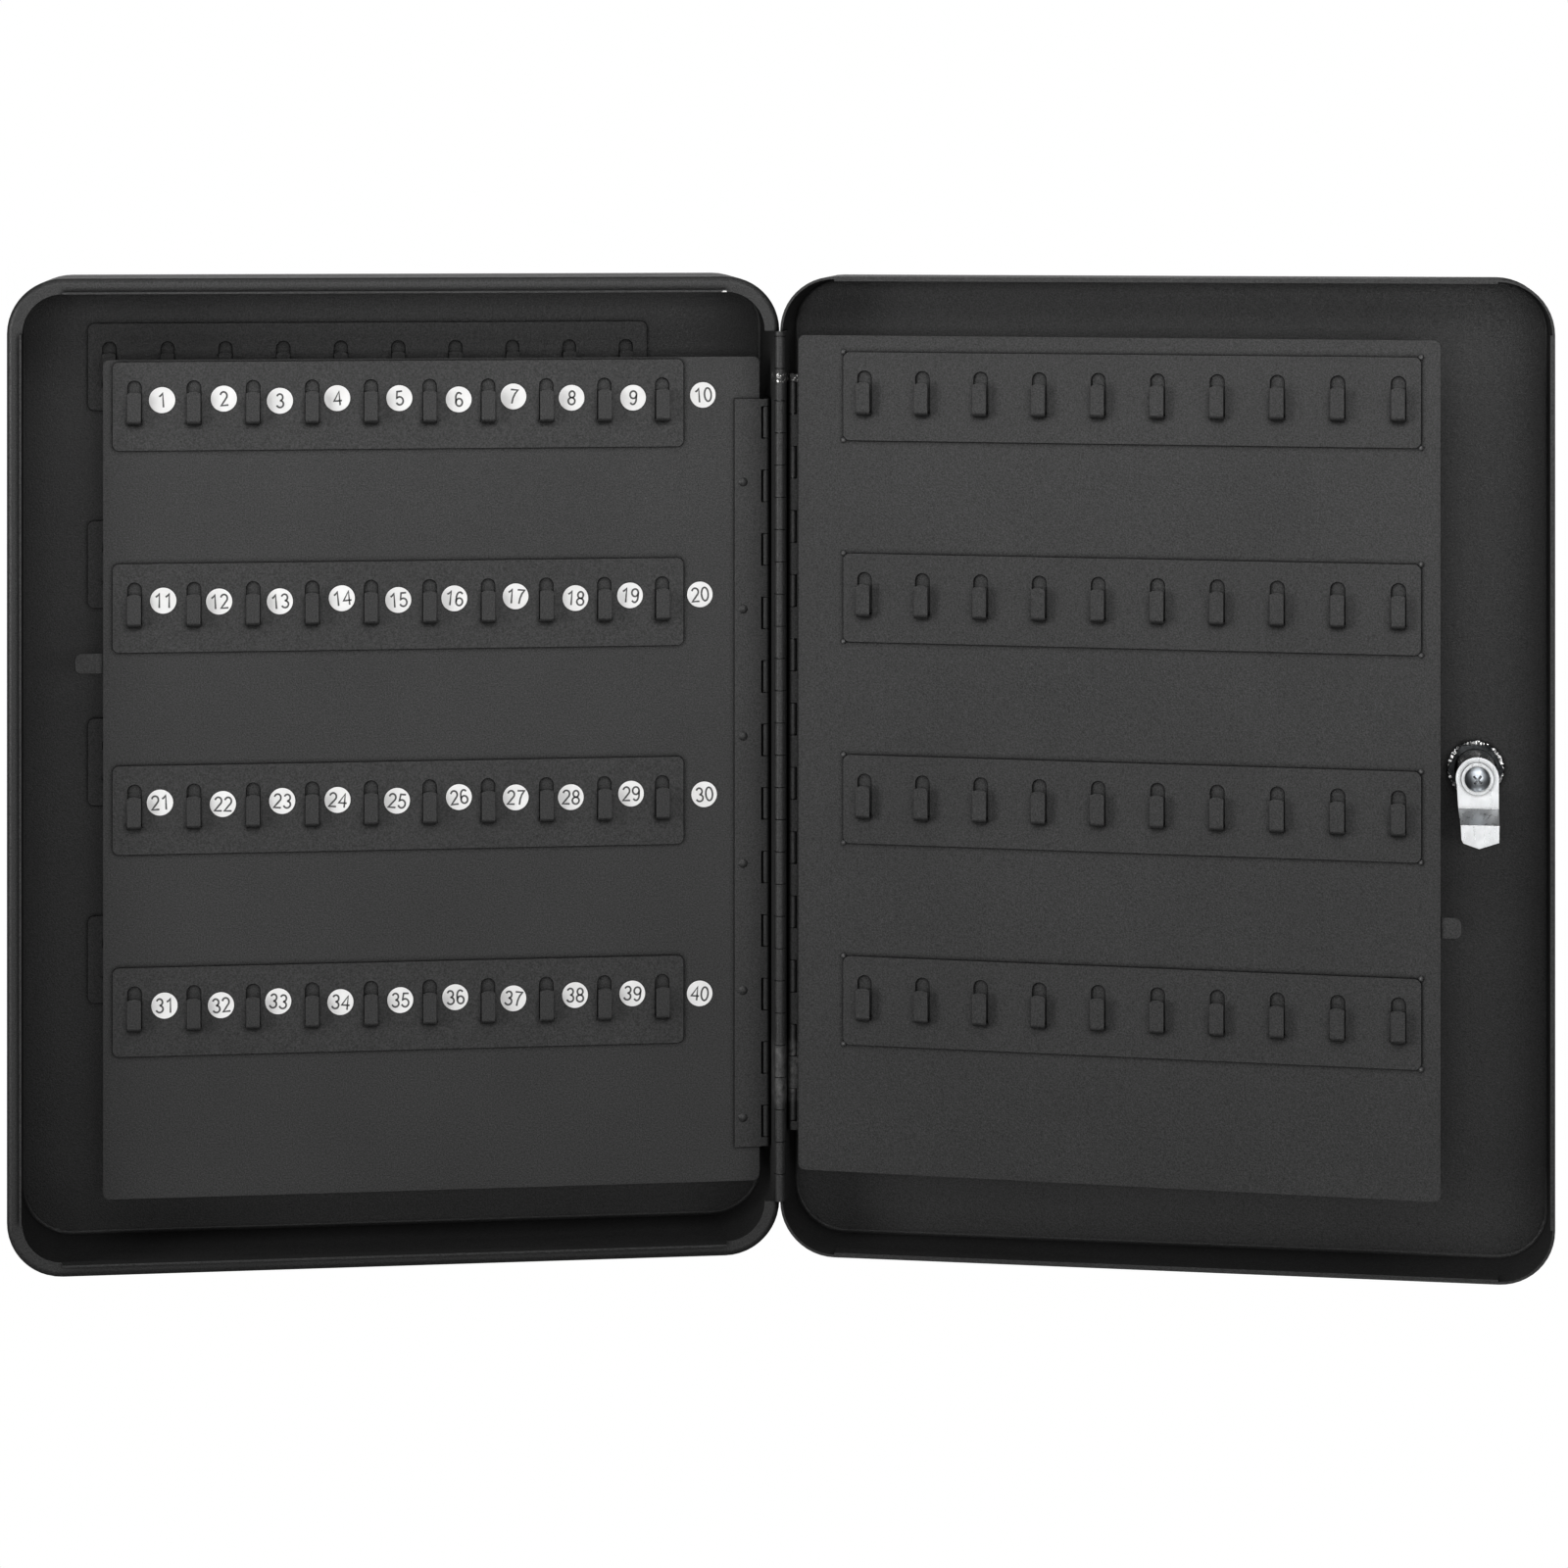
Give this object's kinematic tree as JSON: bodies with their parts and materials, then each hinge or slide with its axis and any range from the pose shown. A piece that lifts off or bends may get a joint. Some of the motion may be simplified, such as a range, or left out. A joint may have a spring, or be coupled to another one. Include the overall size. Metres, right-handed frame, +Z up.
{
  "type": "wall key cabinet",
  "caption": "Sheet-steel wall cabinet for hanging keys, with a hinged tray door, a cam lock, two swinging hook panels and hooked rails on the back wall.",
  "frame": {"origin": "centre of the back face of the body, which is also the centre of the wall hole pattern", "axes": "+X to the right seen from the front, +Y into the wall, +Z up; the door hinge line is vertical on the right"},
  "size_m": [0.6979, 0.161, 0.45],
  "materials": {
    "cabinet_powder_coat": "fine texture matt powder coat, charcoal black",
    "panel_powder_coat": "fine texture matt powder coat, charcoal",
    "rail_powder_coat": "fine texture matt powder coat, charcoal",
    "hinge_pin_steel": "drawn steel wire",
    "zinc_plated_steel": "bright zinc plate",
    "dark_nut_steel": "dark plated",
    "lock_nickel": "nickel plate",
    "key_nickel": "nickel plate, lightly worn",
    "wafer_brass": "stamped",
    "number_disc_white": "matt vinyl sticker"
  },
  "bodies": {
    "body": {"body_shell": "cabinet_powder_coat", "body_rail_1": "rail_powder_coat", "body_rail_2": "rail_powder_coat", "body_rail_3": "rail_powder_coat", "body_rail_4": "rail_powder_coat", "door_hinge_body_leaf": "cabinet_powder_coat", "door_hinge_pin": "hinge_pin_steel", "panel_1_hinge_wall_leaf": "cabinet_powder_coat", "panel_1_hinge_pin": "hinge_pin_steel"},
    "door": {"door_shell": "cabinet_powder_coat", "door_hinge_door_leaf": "cabinet_powder_coat", "panel_2_hinge_wall_leaf": "cabinet_powder_coat", "panel_2_hinge_pin": "hinge_pin_steel", "lock_body": "lock_nickel", "lock_nut": "dark_nut_steel", "lock_tooth_washer": "zinc_plated_steel"},
    "panel_1": {"panel_1_sheet": "panel_powder_coat", "panel_1_hinge_leaf": "panel_powder_coat", "panel_1_hinge_rivets": "panel_powder_coat", "panel_1_rail_rivets": "panel_powder_coat", "panel_1_finger_tab": "panel_powder_coat", "number_discs": "number_disc_white", "panel_1_front_rail_1": "rail_powder_coat", "panel_1_front_rail_2": "rail_powder_coat", "panel_1_front_rail_3": "rail_powder_coat", "panel_1_front_rail_4": "rail_powder_coat", "panel_1_back_rail_1": "rail_powder_coat", "panel_1_back_rail_2": "rail_powder_coat", "panel_1_back_rail_3": "rail_powder_coat", "panel_1_back_rail_4": "rail_powder_coat"},
    "panel_2": {"panel_2_sheet": "panel_powder_coat", "panel_2_hinge_leaf": "panel_powder_coat", "panel_2_hinge_rivets": "panel_powder_coat", "panel_2_rail_welds": "panel_powder_coat", "panel_2_finger_tab": "panel_powder_coat", "panel_2_front_rail_1": "rail_powder_coat", "panel_2_front_rail_2": "rail_powder_coat", "panel_2_front_rail_3": "rail_powder_coat", "panel_2_front_rail_4": "rail_powder_coat", "panel_2_back_rail_1": "rail_powder_coat", "panel_2_back_rail_2": "rail_powder_coat", "panel_2_back_rail_3": "rail_powder_coat", "panel_2_back_rail_4": "rail_powder_coat"},
    "lock_barrel": {"lock_plug": "lock_nickel", "lock_wafers": "wafer_brass", "lock_cam": "zinc_plated_steel", "cam_washer": "zinc_plated_steel", "cam_screw": "zinc_plated_steel"},
    "key": {"key": "key_nickel"}
  },
  "joints": [
    {"name": "door_hinge", "type": "hinge", "parent": "body", "child": "door", "pos_m": [0.175, -0.0704, 0], "axis": [0, 0, 1], "range_deg": [-165, 10]},
    {"name": "panel_1_hinge", "type": "hinge", "parent": "body", "child": "panel_1", "pos_m": [0.1716, -0.0426, 0], "axis": [0, 0, 1], "range_deg": [0, 75]},
    {"name": "panel_2_hinge", "type": "hinge", "parent": "door", "child": "panel_2", "pos_m": [0.18145, -0.06488, 0], "axis": [0, 0, -1], "range_deg": [-3, 70]},
    {"name": "lock_turn", "type": "hinge", "parent": "door", "child": "lock_barrel", "pos_m": [0.49069, -0.11316, 0], "axis": [-0.2588, -0.9659, 0], "range_deg": [0, 90]},
    {"name": "key_slide", "type": "slide", "parent": "lock_barrel", "child": "key", "axis": [0.2588, 0.9659, 0], "range_m": [0, 0.026]}
  ]
}
